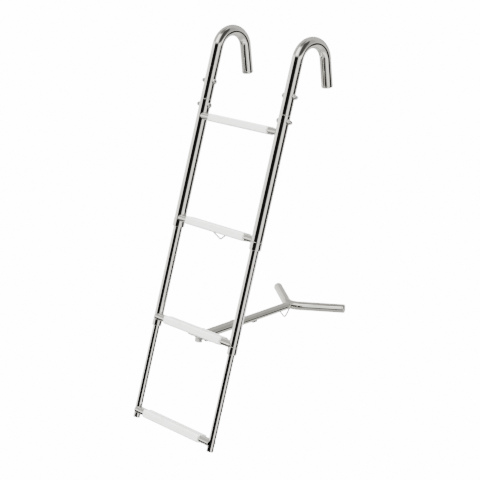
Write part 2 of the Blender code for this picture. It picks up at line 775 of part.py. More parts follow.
def arm_extension(pivot):
    """Inner tube of the arm with the fork that bears on the hull."""
    length = FORK_ROOT - INNER_START
    bore = INNER_R - INNER_WALL
    place = (0.0, 0.0, INNER_START)
    bm = turned(ring_profile(INNER_R, bore, 0.0, length))
    inner = add_object("arm_inner_tube", bm, polished_steel(), place, parent=pivot)
    cope = rod(FORK_R + GAP, -CUT_REACH, CUT_REACH, SEGMENTS)
    cut(inner, cope, (0.0, 0.0, FORK_ROOT), (0.0, math.pi / 2, 0.0), pivot)
    hole = oblong([(BUTTON_R + GAP, 0.0), (BUTTON_R + GAP, CUT_REACH)], BUTTON_HALF)
    cut(inner, hole, (0.0, 0.0, BUTTON_AT), (-math.pi / 2, 0.0, 0.0), pivot)
    fork(pivot)
    lock_button(pivot)
    arm_eye(pivot)


def fork(pivot):
    """One tube bent into a shallow V in the plane of the arm and the rungs, with capped tips."""
    bend = 2 * FORK_HALF_BEND
    bore = FORK_R - FORK_WALL
    bm = bent_tube(FORK_R, bore, FORK_LEG, FORK_BEND_R, bend, FORK_LEG, FORK_BEND_STEPS)
    across = FORK_BEND_R * math.sin(FORK_HALF_BEND) + FORK_LEG * math.cos(FORK_HALF_BEND)
    out = FORK_BEND_R * (1 - math.cos(FORK_HALF_BEND)) + FORK_LEG * math.sin(FORK_HALF_BEND)
    heading = Vector((math.cos(FORK_HALF_BEND), 0.0, -math.sin(FORK_HALF_BEND)))
    towards_tips = Vector((math.sin(FORK_HALF_BEND), 0.0, math.cos(FORK_HALF_BEND)))
    normal = towards_tips.cross(heading)
    basis = Matrix((normal, towards_tips, heading)).transposed()
    start = Vector((-across, 0.0, FORK_ROOT + out))
    add_object("fork_tube", bm, polished_steel(), start, basis.to_euler(), pivot)
    for side in (-1, 1):
        cap = turned(cap_profile(FORK_R, bore), closed=False)
        tip = Vector((side * across, 0.0, FORK_ROOT + out))
        lean = (0.0, side * (math.pi / 2 - FORK_HALF_BEND), 0.0)
        add_object("fork_tip_cap_" + side_name(side), cap, polished_steel(), tip, lean, pivot)


def oblong(rings, half):
    """Closed shape through (radius, z) rings with round ends, whose centres lie half away along Y."""
    bm = bmesh.new()
    loops = []
    for radius, z in rings:
        loop = []
        for centre, first in ((half, 0.0), (-half, math.pi)):
            for step in range(BUTTON_STEPS + 1):
                a = first + math.pi * step / BUTTON_STEPS
                loop.append(bm.verts.new((radius * math.cos(a), centre + radius * math.sin(a), z)))
        loops.append(loop)
    bm.faces.new(loops[0])
    bm.faces.new(loops[-1])
    for lower, upper in zip(loops, loops[1:]):
        for quad in zip(lower, lower[1:] + lower[:1], upper[1:] + upper[:1], upper):
            bm.faces.new(quad)
    return bm


def lock_button(pivot):
    """Sprung oblong button in the underside of the inner tube, and the leaf spring behind it."""
    bore = INNER_R - INNER_WALL
    flange = bore - BUTTON_SEAT - GAP
    tip = INNER_R + BUTTON_PROUD
    rings = [
        (BUTTON_FLANGE_R, flange - BUTTON_FLANGE_LENGTH),
        (BUTTON_FLANGE_R, flange),
        (BUTTON_R, flange),
        (BUTTON_R, tip - BUTTON_BEVEL),
        (BUTTON_R - BUTTON_BEVEL, tip),
    ]
    turn = (-math.pi / 2, 0.0, 0.0)
    bm = oblong(rings, BUTTON_HALF)
    add_object("arm_lock_button", bm, bolt_steel(), (0.0, 0.0, BUTTON_AT), turn, pivot)
    button_spring(pivot, bore)


def button_spring(pivot, bore):
    """Leaf spring folded inside the tube: its back rests in the bore, clear of the button's travel."""
    thickness = SPRING_THICKNESS
    back = -(bore - SPRING_SEAT)
    front = back + SPRING_OPENING
    fold = BUTTON_AT + SPRING_FOLD_AT
    back_end = BUTTON_AT + SPRING_BACK_AT
    tip = BUTTON_AT + SPRING_TIP_AT
    outline = [
        (back, fold),
        (back, back_end),
        (back + thickness, back_end),
        (back + thickness, fold + SPRING_OPENING / 2),
        (front, tip),
        (front + thickness, tip - 2 * thickness),
        (back + 2 * thickness, fold),
    ]
    bm = bmesh.new()
    face = bm.faces.new([bm.verts.new((-SPRING_WIDTH / 2, y, z)) for y, z in outline])
    made = bmesh.ops.extrude_face_region(bm, geom=[face])["geom"]
    verts = [g for g in made if isinstance(g, bmesh.types.BMVert)]
    bmesh.ops.translate(bm, verts=verts, vec=(SPRING_WIDTH, 0.0, 0.0))
    add_object("button_spring", bm, spring_steel(), parent=pivot)


def arm_eye(pivot):
    """V-shaped wire eye under the outer end of the arm, the pair of the one on the rung."""
    on_tube = INNER_R + EYE_WIRE_R + GAP
    fork_side = math.sqrt((FORK_R + EYE_WIRE_R + 2 * GAP) ** 2 - ARM_EYE_END**2)
    start = Vector((0.0, on_tube, FORK_ROOT - ARM_EYE_START))
    vertex = Vector((0.0, ARM_EYE_DROP, FORK_ROOT - ARM_EYE_VERTEX))
    end = Vector((0.0, fork_side, FORK_ROOT - ARM_EYE_END))
    points = vee_points(start, vertex, end, EYE_BEND_R)
    bent_wire(points, "arm_eye", bolt_steel(), (0.0, 0.0, 0.0), pivot)


def build():
    clear_scene()
    upper_frame()
    middle_section()
    lower_section()
    pivot = arm_pivot()
    standoff_arm(pivot)
    arm_extension(pivot)


build()
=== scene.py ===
"""Looks of a telescoping boat boarding ladder: polished tube, moulded treads, bolts, welds and white studio.

Everything is in the CAD's own frame: metres, +Z up, +X along the rungs, +Y from the ladder towards the boat,
with the origin where the underside of the hooks rests on the gunwale, midway between them.
"""

import json
import math

import bmesh
import bpy
from mathutils import Matrix, Vector


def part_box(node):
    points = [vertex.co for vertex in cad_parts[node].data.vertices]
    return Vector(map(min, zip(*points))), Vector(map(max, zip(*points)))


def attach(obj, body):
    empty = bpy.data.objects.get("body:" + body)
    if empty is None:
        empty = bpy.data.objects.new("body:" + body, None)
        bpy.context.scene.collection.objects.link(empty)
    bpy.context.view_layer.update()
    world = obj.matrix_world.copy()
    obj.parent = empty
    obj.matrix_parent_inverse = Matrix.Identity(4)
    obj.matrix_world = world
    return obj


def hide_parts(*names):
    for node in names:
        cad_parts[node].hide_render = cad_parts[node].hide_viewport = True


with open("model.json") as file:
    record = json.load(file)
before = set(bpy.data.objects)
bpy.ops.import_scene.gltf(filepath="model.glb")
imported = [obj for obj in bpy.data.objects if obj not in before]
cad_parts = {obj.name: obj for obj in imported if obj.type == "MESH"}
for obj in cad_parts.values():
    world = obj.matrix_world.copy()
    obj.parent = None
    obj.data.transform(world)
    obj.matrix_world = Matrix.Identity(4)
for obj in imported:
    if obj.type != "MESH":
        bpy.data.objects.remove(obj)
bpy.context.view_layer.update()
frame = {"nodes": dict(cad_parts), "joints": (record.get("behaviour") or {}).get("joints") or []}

X = Vector((1.0, 0.0, 0.0))
Y = Vector((0.0, 1.0, 0.0))
Z = Vector((0.0, 0.0, 1.0))
SIDES = (("left", -1), ("right", 1))

# Mesh fineness
TUBE_SEGMENTS = 72
HEX_SEGMENTS = 72
SMALL_SEGMENTS = 36
BAR_SEGMENTS = 12
CAP_STEPS = 10
BEND_STEP = 0.0022
EDGE = 0.0005
SUPPORT = 0.0003
TINY = 0.000001

# Tube sizes of the CAD
UPPER_R = 0.015875
MIDDLE_R = 0.0127
LOWER_R = 0.009525
WALL = 0.0015
FORK_R = 0.0127
INNER_R = 0.011
SLEEVE_R = 0.0127
SLEEVE_WALL = 0.0012
GAP = 0.0003
COLLAR_PROUD = 0.0004

# A smooth bend reaches past the CAD's facets by less than this
BEND_EASE = 0.0002

# Rail ends
FERRULE_EDGE = 0.0008
BUSH_EDGE = 0.0004
PLUG_FLANGE = 0.0019
PLUG_EDGE = 0.0009
PLUG_INNER_EDGE = 0.0002

# Hooks
HOOK_RADIUS = 0.053
HOOK_ANGLE = math.radians(156.4)
HOOK_LEG = 0.0725
CAP_LIP = 0.003
CAP_BEAD = 0.0045

# Bolts of the hook joints
BOLT_R = 0.004
HEX_R = 0.0075
BOLT_HEAD_LENGTH = 0.0060
NUT_HEX_LENGTH = 0.0065
NUT_LENGTH = 0.0155
DOME_R = 0.0060
DOME_NECK = 0.0020
DOME_STEPS = 12
FACE_STEP = 0.0004
FACE_INSET = 0.0002
SEATING = 0.0002
CHAMFER = math.radians(30)

# Rungs and treads
RUNG_DEPTH = 0.030
RUNG_HEIGHT = 0.018
TREAD_DEPTH = 0.0334
TREAD_HEIGHT = 0.0218
TREAD_CORNER = 0.005
TREAD_ROUND = 0.0014
TREAD_LIP = 0.0055
TREAD_ROUND_STEPS = 5
GROOVES = 7
GROOVE_DEPTH = 0.00025
GROOVE_TOP = 0.27
GROOVE_FLOOR = 0.21
GROOVE_RUN = 0.0005
COPE_EASE = 0.0001
TUBE_END = 0.002
WELD_R = 0.0008
WELD_PROUD = 0.0002
WELD_RIPPLE = 0.10

# Stand-off arm, its places measured along its axis from the pivot
SLEEVE_START = -0.009
SLEEVE_END = 0.112
COLLAR_RING_R = 0.0136
COLLAR_LENGTH = 0.008
COLLAR_LIP = 0.002
COLLAR_ROUND = 0.0010
FORK_ROOT = 0.3335
FORK_BEND_R = 0.045
FORK_HALF_BEND = math.radians(33.6)
FORK_LEG = 0.1275
FORK_WELD_R = 0.0011
FORK_WELD_RIPPLE = 0.12
FORK_WELD_POINTS = 48
INNER_START = 0.062
INNER_SHORT = 0.004
BUTTON_AT = 0.190
BUTTON_R = 0.0038
BUTTON_HALF = 0.0055
BUTTON_PROUD = 0.0045
BUTTON_ROUND = 0.0016
BUTTON_FLANGE_R = 0.0052
BUTTON_FLANGE = 0.0012
BUTTON_FLANGE_DEPTH = 0.0019

# Wire eyes; the arm's is placed by distances back from the fork's root and its drop below the arm's axis
EYE_WIRE_R = 0.0021
EYE_BEND_R = 0.006
EYE_LEG_STEPS = 6
RUNG_EYE_VERTEX = 0.0095
ARM_EYE_START = 0.0410
ARM_EYE_VERTEX = 0.0245
ARM_EYE_END = 0.0060
ARM_EYE_DROP = 0.0338

# Arm bracket, measured back from the rails
PLATE = 0.003
EAR_FRONT = 0.0085
EAR_CORNER = 0.008
PIVOT_LOBE_R = 0.015
PIN_LOBE_R = 0.0045
WEB_BACK = 0.0185
LUG_HALF = 0.009
LUG_ROUND = 0.0068
LUG_FRONT = 0.0145
LUG_BACK = 0.0290
LUG_NECK_BACK = 0.0180
LUG_KNEE_RISE = 0.0055
LUG_NECK_RISE = 0.0110
LUG_STEP = 0.0012
TREAD_CLEARANCE = 0.0008
WEB_SHORT = 0.001

# Insets of the lug's outline along its depth, as (inset, share of the depth)
LUG_SECTIONS = ((0.0008, 0.0), (0.0002, 0.05), (0.0, 0.12), (0.0, 0.88), (0.0002, 0.95), (0.0008, 1.0))

# Fasteners of the bracket
SCREW_R = 0.002
SCREW_HEAD_R = 0.0038
SCREW_HEAD_ROUND = 0.0012
SCREW_HEAD_LENGTH = 0.0019
PIN_R = 0.002
PIN_HEAD_R = 0.003
PIN_HEAD_ROUND = 0.0008
PIVOT_R = 0.003
PIVOT_HEX_R = 0.0055

# Studio. CAMERA_SIDE is the camera's bearing from +X in degrees. CARD_SIDE points from the fork to its card
BACKDROP_GLOW = 15.0
DOME_DISTANCE = 18.0
FLOOR_SIZE = 9.0
FLOOR_HEIGHT = -1.9
CAMERA_SIDE = -45
FLAG_DISTANCE = 1.5
FLAG_GLOW = 0.012
FLAG_STEPS = 24
CARD_DISTANCE = 0.30
CARD_HALF_WIDTH = 0.075
CARD_HALF_HEIGHT = 0.120
CARD_ACROSS = 0.112
CARD_BEYOND = 0.070
CARD_GLOW = 1.9
CARD_SIDE = Vector((0.292, -0.951, 0.064))


# ---------------------------------------------------------------- mesh tools


def turns(count):
    return [math.tau * i / count for i in range(count)]


def loft(rings, closed=False):
    """Skin through rings of as many points each. A ring of one point closes that end."""
    bm = bmesh.new()
    verts = [[bm.verts.new(point) for point in ring] for ring in rings]
    pairs = list(zip(verts, verts[1:]))
    if closed:
        pairs.append((verts[-1], verts[0]))
    for first, second in pairs:
        count = max(len(first), len(second))
        for i in range(count):
            j = (i + 1) % count
            if len(first) == 1:
                bm.faces.new((first[0], second[j], second[i]))
            elif len(second) == 1:
                bm.faces.new((first[i], first[j], second[0]))
            else:
                bm.faces.new((first[i], first[j], second[j], second[i]))
    bmesh.ops.remove_doubles(bm, verts=bm.verts, dist=TINY)
    bmesh.ops.recalc_face_normals(bm, faces=bm.faces)
    return bm


def between(a, b, share):
    """Point on the arc from a to b, two vectors of one length."""
    angle = a.angle(b)
    return (a * math.sin((1 - share) * angle) + b * math.sin(share * angle)) / math.sin(angle)


def soften(corners, closed=False, steps=4):
    """Outline whose (u, v, radius) corners become arcs between support points. (u, v) corners stay sharp."""
    points = []
    for i, corner in enumerate(corners):
        here = Vector(corner[:2])
        radius = corner[2] if len(corner) > 2 else 0.0
        if radius == 0.0 or (not closed and i in (0, len(corners) - 1)):
            points.append(here)
            continue
        before = (Vector(corners[i - 1][:2]) - here).normalized()
        after = (Vector(corners[(i + 1) % len(corners)][:2]) - here).normalized()
        half = before.angle(after) / 2
        reach = radius / math.tan(half)
        centre = here + (before + after).normalized() * (radius / math.sin(half))
        first = here + before * reach - centre
        last = here + after * reach - centre
        points.append(here + before * (reach + SUPPORT))
        points += [centre + between(first, last, step / steps) for step in range(steps + 1)]
        points.append(here + after * (reach + SUPPORT))
    return points


def subdivided(points, closed, step):
    """The same outline with long edges cut into lengths of at most step."""
    out = []
    ends = points[1:] + points[:1] if closed else points[1:]
    for start, end in zip(points, ends):
        count = max(1, math.ceil((end - start).length / step))
        out += [start.lerp(end, i / count) for i in range(count)]
    return out if closed else out + [points[-1]]


def straight_path(start, heading):
    """Path in a straight line: place and heading at a distance."""
    return lambda distance: (start + heading * distance, heading)


def bend_path(start, heading, turn, straight, radius, angle):
    """Path that runs straight, then bends towards turn through an angle, then runs straight again."""
    centre = start + heading * straight + turn * radius

    def place(distance):
        if distance <= straight:
            return start + heading * distance, heading
        a = min((distance - straight) / radius, angle)
        point = centre - turn * (radius * math.cos(a)) + heading * (radius * math.sin(a))
        onward = heading * math.cos(a) + turn * math.sin(a)
        rest = distance - straight - radius * a
        return point + onward * rest, onward

    return place


def swept(corners, path, side, closed=False, step=None, segments=TUBE_SEGMENTS, steps=4):
    """Skin of a round bar whose outline, (radius, distance) corners, is carried along a path."""
    outline = soften(corners, closed, steps)
    if step:
        outline = subdivided(outline, closed, step)
    rings = []
    for radius, distance in outline:
        centre, heading = path(distance)
        up = heading.cross(side)
        if radius < TINY:
            rings.append([centre])
            continue
        rings.append([centre + (side * math.cos(a) + up * math.sin(a)) * radius for a in turns(segments)])
    return loft(rings, closed)


def tube_corners(outer, inner, low, high, edge=EDGE):
    """Outline of a tube with a wall, from one cut end to the other."""
    return [(outer, low, edge), (outer, high, edge), (inner, high, edge / 2), (inner, low, edge / 2)]


def solid_corners(radius, low, high, edge=EDGE):
    """Outline of a solid round bar with rounded ends."""
    return [(0.0, low), (radius, low, edge), (radius, high, edge), (0.0, high)]


def bar(points, radius, reference, closed=False, ripple=0.0, ripples=0):
    """Round bar through points. Reference is roughly across the plane in which it bends."""
    count = len(points)
    rings = [] if closed else [[points[0]]]
    for i, point in enumerate(points):
        if closed:
            heading = (points[(i + 1) % count] - points[i - 1]).normalized()
        else:
            heading = (points[min(i + 1, count - 1)] - points[max(i - 1, 0)]).normalized()
        side = heading.cross(reference).normalized()
        up = side.cross(heading)
        size = radius * (1 + ripple * math.sin(math.tau * ripples * i / count))
        rings.append([point + (side * math.cos(a) + up * math.sin(a)) * size for a in turns(BAR_SEGMENTS)])
    if not closed:
        rings.append([points[-1]])
    return loft(rings, closed)


def merged(target, *others):
    """Add the faces of other meshes to one."""
    for other in others:
        mesh = bpy.data.meshes.new("part")
        other.to_mesh(mesh)
        other.free()
        target.from_mesh(mesh)
        bpy.data.meshes.remove(mesh)
    return target


def piece(name, bm, mat, body, slot, *nodes, angle=38):
    """Turn a bmesh into a smooth-shaded piece that rides on a body and may stand for CAD nodes."""
    mesh = bpy.data.meshes.new(name)
    bm.to_mesh(mesh)
    bm.free()
    mesh.materials.append(mat)
    mesh.shade_smooth()
    mesh.set_sharp_from_angle(angle=math.radians(angle))
    obj = bpy.data.objects.new(name, mesh)
    bpy.context.scene.collection.objects.link(obj)
    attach(obj, body)
    if nodes:
        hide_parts(*nodes)
    return obj


# ---------------------------------------------------------------- materials


def add(tree, kind, **values):
    """New node with its settings; a value named like an input, with _ for a space, sets that input."""
    node = tree.nodes.new(kind)
    for key, value in values.items():
        if hasattr(node, key):
            setattr(node, key, value)
        else:
            node.inputs[key.replace("_", " ")].default_value = value
    return node


def noise(tree, scale, detail=3.0, stretch=(1.0, 1.0, 1.0)):
    """Noise in metres of the object, which may be stretched along an axis."""
    coords = add(tree, "ShaderNodeTexCoord")
    mapping = add(tree, "ShaderNodeMapping", Scale=stretch)
    texture = add(tree, "ShaderNodeTexNoise", Scale=scale, Detail=detail)
    tree.links.new(coords.outputs["Object"], mapping.inputs["Vector"])
    tree.links.new(mapping.outputs["Vector"], texture.inputs["Vector"])
    return texture.outputs["Fac"]


def ranged(tree, value, low, high, start=0.3, end=0.7):
    """Spread a noise value over a range."""
    node = add(tree, "ShaderNodeMapRange", From_Min=start, From_Max=end, To_Min=low, To_Max=high)
    tree.links.new(value, node.inputs["Value"])
    return node.outputs["Result"]


def blended(tree, share, first, second):
    """Colour between two, by a noise value."""
    node = add(tree, "ShaderNodeMix", data_type="RGBA")
    for socket in node.inputs:
        if socket.type == "RGBA":
            socket.default_value = (*first, 1.0) if socket.name == "A" else (*second, 1.0)
    tree.links.new(share, node.inputs["Factor"])
    return next(socket for socket in node.outputs if socket.type == "RGBA")


def bumped(tree, height, distance, strength=1.0, under=None):
    """Bump from a height, on top of another bump if one is given."""
    node = add(tree, "ShaderNodeBump", Strength=strength, Distance=distance)
    tree.links.new(height, node.inputs["Height"])
    if under is not None:
        tree.links.new(under, node.inputs["Normal"])
    return node.outputs["Normal"]


def new_material(name, metallic):
    mat = bpy.data.materials.new(name)
    mat.use_nodes = True
    shader = mat.node_tree.nodes["Principled BSDF"]
    shader.inputs["Metallic"].default_value = metallic
    return mat, mat.node_tree, shader


def steel(name, colour, shade, rough_low, rough_high, grain=0.0):
    """Polished or machined stainless: faint haze and hand marks, fine buffing marks, slight waviness."""
    mat, tree, shader = new_material(name, 1.0)
    haze = noise(tree, scale=38.0, detail=5.0)
    buffing = noise(tree, scale=260.0, detail=2.0, stretch=(1.0, 1.0, 0.08))
    tree.links.new(blended(tree, ranged(tree, haze, 0.0, 1.0), shade, colour), shader.inputs["Base Color"])
    tree.links.new(ranged(tree, haze, rough_low, rough_high), shader.inputs["Roughness"])
    wave = bumped(tree, noise(tree, scale=55.0, detail=1.0), distance=0.00002, strength=0.6)
    normal = bumped(tree, buffing, distance=0.000004 + grain, strength=0.8, under=wave)
    tree.links.new(normal, shader.inputs["Normal"])
    return mat


def plastic(name, colour, shade, rough_low, rough_high, grain):
    """Moulded plastic: slight colour drift, a fine eroded grain and scuffed patches."""
    mat, tree, shader = new_material(name, 0.0)
    drift = noise(tree, scale=24.0, detail=4.0)
    scuffs = noise(tree, scale=130.0, detail=6.0, stretch=(0.25, 1.0, 1.0))
    tree.links.new(blended(tree, ranged(tree, drift, 0.0, 1.0), shade, colour), shader.inputs["Base Color"])
    tree.links.new(ranged(tree, scuffs, rough_low, rough_high), shader.inputs["Roughness"])
    flow = bumped(tree, noise(tree, scale=90.0, detail=2.0), distance=0.00003, strength=0.5)
    normal = bumped(tree, noise(tree, scale=2600.0, detail=2.0), distance=grain, strength=0.6, under=flow)
    tree.links.new(normal, shader.inputs["Normal"])
    return mat


POLISHED = steel("polished_stainless", (0.86, 0.855, 0.82), (0.82, 0.815, 0.775), 0.035, 0.075)
ARM_STEEL = steel("arm_stainless", (0.76, 0.755, 0.71), (0.68, 0.675, 0.62), 0.05, 0.09, 0.000002)
BRACKET_STEEL = steel("bracket_stainless", (0.74, 0.735, 0.71), (0.66, 0.655, 0.63), 0.30, 0.42, 0.00001)
WIRE_STEEL = steel("wire_stainless", (0.40, 0.395, 0.375), (0.30, 0.295, 0.28), 0.12, 0.22, 0.000004)
BOLT_STEEL = steel("bolt_stainless", (0.72, 0.715, 0.70), (0.62, 0.615, 0.60), 0.14, 0.26, 0.000006)
WELD_STEEL = steel("weld_stainless", (0.66, 0.65, 0.63), (0.50, 0.49, 0.47), 0.16, 0.30, 0.00001)
SPRING_STEEL = steel("spring_strip", (0.56, 0.57, 0.58), (0.47, 0.48, 0.50), 0.22, 0.34, 0.000006)
WHITE_PLASTIC = plastic("white_moulding", (0.83, 0.835, 0.82), (0.79, 0.795, 0.775), 0.36, 0.52, 0.00003)
BLACK_PLASTIC = plastic("black_nylon", (0.020, 0.020, 0.021), (0.013, 0.013, 0.014), 0.32, 0.5, 0.00003)


# ---------------------------------------------------------------- rails and hooks


def node_span(node):
    """Centre line of an upright CAD node: its x, and its lowest and highest points."""
    low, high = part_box(node)
    return (low[0] + high[0]) / 2, low[2], high[2]


RAIL_Y = (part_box("upper_rail_left")[0][1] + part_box("upper_rail_left")[1][1]) / 2


def upright(x, z):
    return straight_path(Vector((x, RAIL_Y, z)), Z)


def hook(name):
    """One hook: the bent tube, and the welded cap that closes its leg."""
    x, seam, _ = node_span("hook_tube_" + name)
    straight = -(HOOK_RADIUS - UPPER_R) - seam
    path = bend_path(Vector((x, RAIL_Y, seam)), Z, Y, straight, HOOK_RADIUS, HOOK_ANGLE)
    length = straight + HOOK_RADIUS * HOOK_ANGLE + HOOK_LEG
    tube = swept(solid_corners(UPPER_R - BEND_EASE, 0.0, length), path, X, step=BEND_STEP)
    piece(f"hook_{name}", tube, POLISHED, "upper_frame", "polished_steel", "hook_tube_" + name)
    end = length + CAP_LIP + CAP_BEAD
    corners = [(0.0, length + GAP), (UPPER_R, length + GAP, EDGE / 2), (UPPER_R, end, CAP_BEAD), (0.0, end)]
    cap = swept(corners, path, X, steps=CAP_STEPS)
    piece(f"hook_{name}_end", cap, POLISHED, "upper_frame", "polished_steel", "hook_tip_cap_" + name)


def rail(node, name, radius, body):
    """One straight rail tube with rounded cut ends."""
    x, low, high = node_span(node)
    bm = swept(tube_corners(radius, radius - WALL, 0.0, high - low), upright(x, low), X, closed=True)
    piece(name, bm, POLISHED, body, "polished_steel", node)


def ferrule(node, name, radius, body):
    """Steel ring round a rail's end under its rung, a little wider than the tube and open for the bush."""
    x, low, high = node_span(node)
    corners = tube_corners(radius + COLLAR_PROUD, radius - WALL, 0.0, high - low, FERRULE_EDGE)
    bm = swept(corners, upright(x, low), X, closed=True)
    piece(name, bm, POLISHED, body, "polished_steel", node)


def bush(node, name, outer_tube, inner_tube, body):
    """Black guide bush, seen as a dark ring between the ferrule and the tube it guides."""
    x, low, high = node_span(node)
    outer = outer_tube - WALL - GAP / 3
    corners = tube_corners(outer, inner_tube + GAP / 2, 0.0, high - low, BUSH_EDGE)
    bm = swept(corners, upright(x, low), X, closed=True)
    piece(name, bm, BLACK_PLASTIC, body, "bush_plastic", node)


def foot_plug(name):
    """Plug in the bottom of a lower rail."""
    x, low, high = node_span("foot_plug_" + name)
    shank = LOWER_R - WALL - GAP
    corners = [
        (0.0, 0.0),
        (LOWER_R, 0.0, PLUG_EDGE),
        (LOWER_R, PLUG_FLANGE, PLUG_INNER_EDGE),
        (shank, PLUG_FLANGE),
        (shank, high - low),
        (0.0, high - low),
    ]
    bm = swept(corners, upright(x, low), X)
    piece(f"rail_plug_{name}", bm, BLACK_PLASTIC, "lower_section", "bush_plastic", "foot_plug_" + name)


# ---------------------------------------------------------------- fasteners


def hexagon(radius, angle):
    """Distance to the flat or corner of a hexagon of that corner radius."""
    return radius * math.cos(math.pi / 6) / math.cos(angle % (math.pi / 3) - math.pi / 6)


def hex_ring(base, axis, side, radius, height, chamfer_radius, sign):
    """Edge of a chamfered hexagon: its corners sit lower than its flats."""
    up = axis.cross(side)
    points = []
    for a in turns(HEX_SEGMENTS):
        r = hexagon(radius, a)
        drop = max(0.0, r - chamfer_radius) * math.tan(CHAMFER)
        points.append(base + axis * (height - sign * drop) + (side * math.cos(a) + up * math.sin(a)) * r)
    return points


def round_ring(base, axis, side, radius, height):
    """Circle round the axis at a height, or one point where its radius is nothing."""
    centre = base + axis * height
    if radius < TINY:
        return [centre]
    up = axis.cross(side)
    return [centre + (side * math.cos(a) + up * math.sin(a)) * radius for a in turns(HEX_SEGMENTS)]


def cap_nut(base, axis, side):
    """Domed nut standing on base: a washer face, a chamfered hexagon and the dome."""
    face = HEX_R * math.cos(math.pi / 6) - FACE_INSET
    rings = [
        round_ring(base, axis, side, 0.0, 0.0),
        round_ring(base, axis, side, BOLT_R, 0.0),
        round_ring(base, axis, side, face, 0.0),
        hex_ring(base, axis, side, HEX_R, FACE_STEP, face, -1),
        hex_ring(base, axis, side, HEX_R, NUT_HEX_LENGTH, face, 1),
        round_ring(base, axis, side, face - FACE_INSET, NUT_HEX_LENGTH),
        round_ring(base, axis, side, DOME_R + FACE_INSET, NUT_HEX_LENGTH),
        round_ring(base, axis, side, DOME_R, NUT_HEX_LENGTH + FACE_STEP),
    ]
    neck = NUT_HEX_LENGTH + DOME_NECK
    for step in range(DOME_STEPS + 1):
        a = math.pi / 2 * step / DOME_STEPS
        height = neck + (NUT_LENGTH - neck) * math.sin(a)
        rings.append(round_ring(base, axis, side, DOME_R * math.cos(a), height))
    return loft(rings)


def hex_head(base, axis, side, radius, length):
    """Bolt head standing on base, with a washer face and a chamfered top."""
    flat = radius * math.cos(math.pi / 6)
    face = flat - FACE_INSET / 2
    return loft([
        round_ring(base, axis, side, 0.0, 0.0),
        round_ring(base, axis, side, face, 0.0),
        round_ring(base, axis, side, face, FACE_STEP),
        hex_ring(base, axis, side, radius, FACE_STEP + FACE_INSET / 2, flat, -1),
        hex_ring(base, axis, side, radius, length, face - FACE_INSET, 1),
        round_ring(base, axis, side, flat - 2 * FACE_INSET, length),
        round_ring(base, axis, side, flat * 0.75, length),
        round_ring(base, axis, side, flat * 0.70, length - FACE_INSET),
        round_ring(base, axis, side, 0.0, length - FACE_INSET),
    ])


def hook_joint(name, side):
    """Two through bolts with hexagon heads inside the ladder's rail and domed nuts outside it."""
    for level in ("upper", "lower"):
        label = f"{name}_{level}"
        low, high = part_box("hook_nut_" + label)
        x, _, _ = node_span("upper_rail_" + name)
        centre = Vector((x, RAIL_Y, (low[2] + high[2]) / 2))
        out = X * side
        seat = out * (UPPER_R - SEATING)
        nut = cap_nut(centre + seat, out, Y)
        piece(f"domed_nut_{label}", nut, BOLT_STEEL, "upper_frame", "bolt_steel", "hook_nut_" + label)
        head = hex_head(centre - seat, -out, Y, HEX_R, BOLT_HEAD_LENGTH)
        corners = solid_corners(BOLT_R, -UPPER_R, UPPER_R)
        shank = swept(corners, straight_path(centre, out), Y, segments=SMALL_SEGMENTS)
        bolt = merged(head, shank)
        piece(f"joint_bolt_{label}", bolt, BOLT_STEEL, "upper_frame", "bolt_steel", "hook_bolt_" + label)


# ---------------------------------------------------------------- rungs


def arc(centre_y, centre_z, radius, first, last, steps):
    """Points (y, z) of an arc from one angle in degrees to another."""
    turned = [math.radians(first + (last - first) * step / steps) for step in range(steps + 1)]
    return [(centre_y + radius * math.cos(a), centre_z + radius * math.sin(a)) for a in turned]


def oblong(depth, height, corner, groove=0.0, arc_steps=10, flat_steps=6):
    """Rounded oblong in the YZ plane, its top side cut by lengthwise grooves of a given depth."""
    half_flat = depth / 2 - corner
    rise = height / 2 - corner
    points = arc(half_flat, rise, corner, 0, 90, arc_steps)
    pitch = 2.0 / GROOVES
    for i in range(GROOVES):
        centre = 1.0 - pitch * (i + 0.5)
        for offset, deep in ((GROOVE_TOP, 0), (GROOVE_FLOOR, 1), (-GROOVE_FLOOR, 1), (-GROOVE_TOP, 0)):
            points.append(((centre + offset * pitch) * half_flat, height / 2 - groove * deep))
    points += arc(-half_flat, rise, corner, 90, 180, arc_steps)
    steps = range(1, flat_steps)
    points += [(-depth / 2, rise - 2 * rise * i / flat_steps) for i in steps]
    points += arc(-half_flat, -rise, corner, 180, 270, arc_steps)
    points += [(-half_flat + 2 * half_flat * i / flat_steps, -height / 2) for i in steps]
    points += arc(half_flat, -rise, corner, 270, 360, arc_steps)
    return points + [(depth / 2, -rise + 2 * rise * i / flat_steps) for i in steps]


def rung_height(number):
    low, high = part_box(f"rung_{number}_tread")
    return (low[2] + high[2]) / 2


def saddle(rail_radius, y, rail_x):
    """Where a bar along X meets the outside of an upright tube."""
    return rail_x - math.sqrt(max(rail_radius**2 - y**2, 0.0))


def rung_beads(around, height, whole):
    """Weld round a rung's end: one closed bead, or two on a rail that is thinner than the rung."""
    if whole:
        return bar(around, WELD_R, X, closed=True, ripple=WELD_RIPPLE, ripples=26)
    over = [p for p in around if p.z > height]
    under = [p for p in around if p.z < height]
    beads = [bar(points, WELD_R, X, ripple=WELD_RIPPLE, ripples=9) for points in (over, under)]
    return merged(*beads)


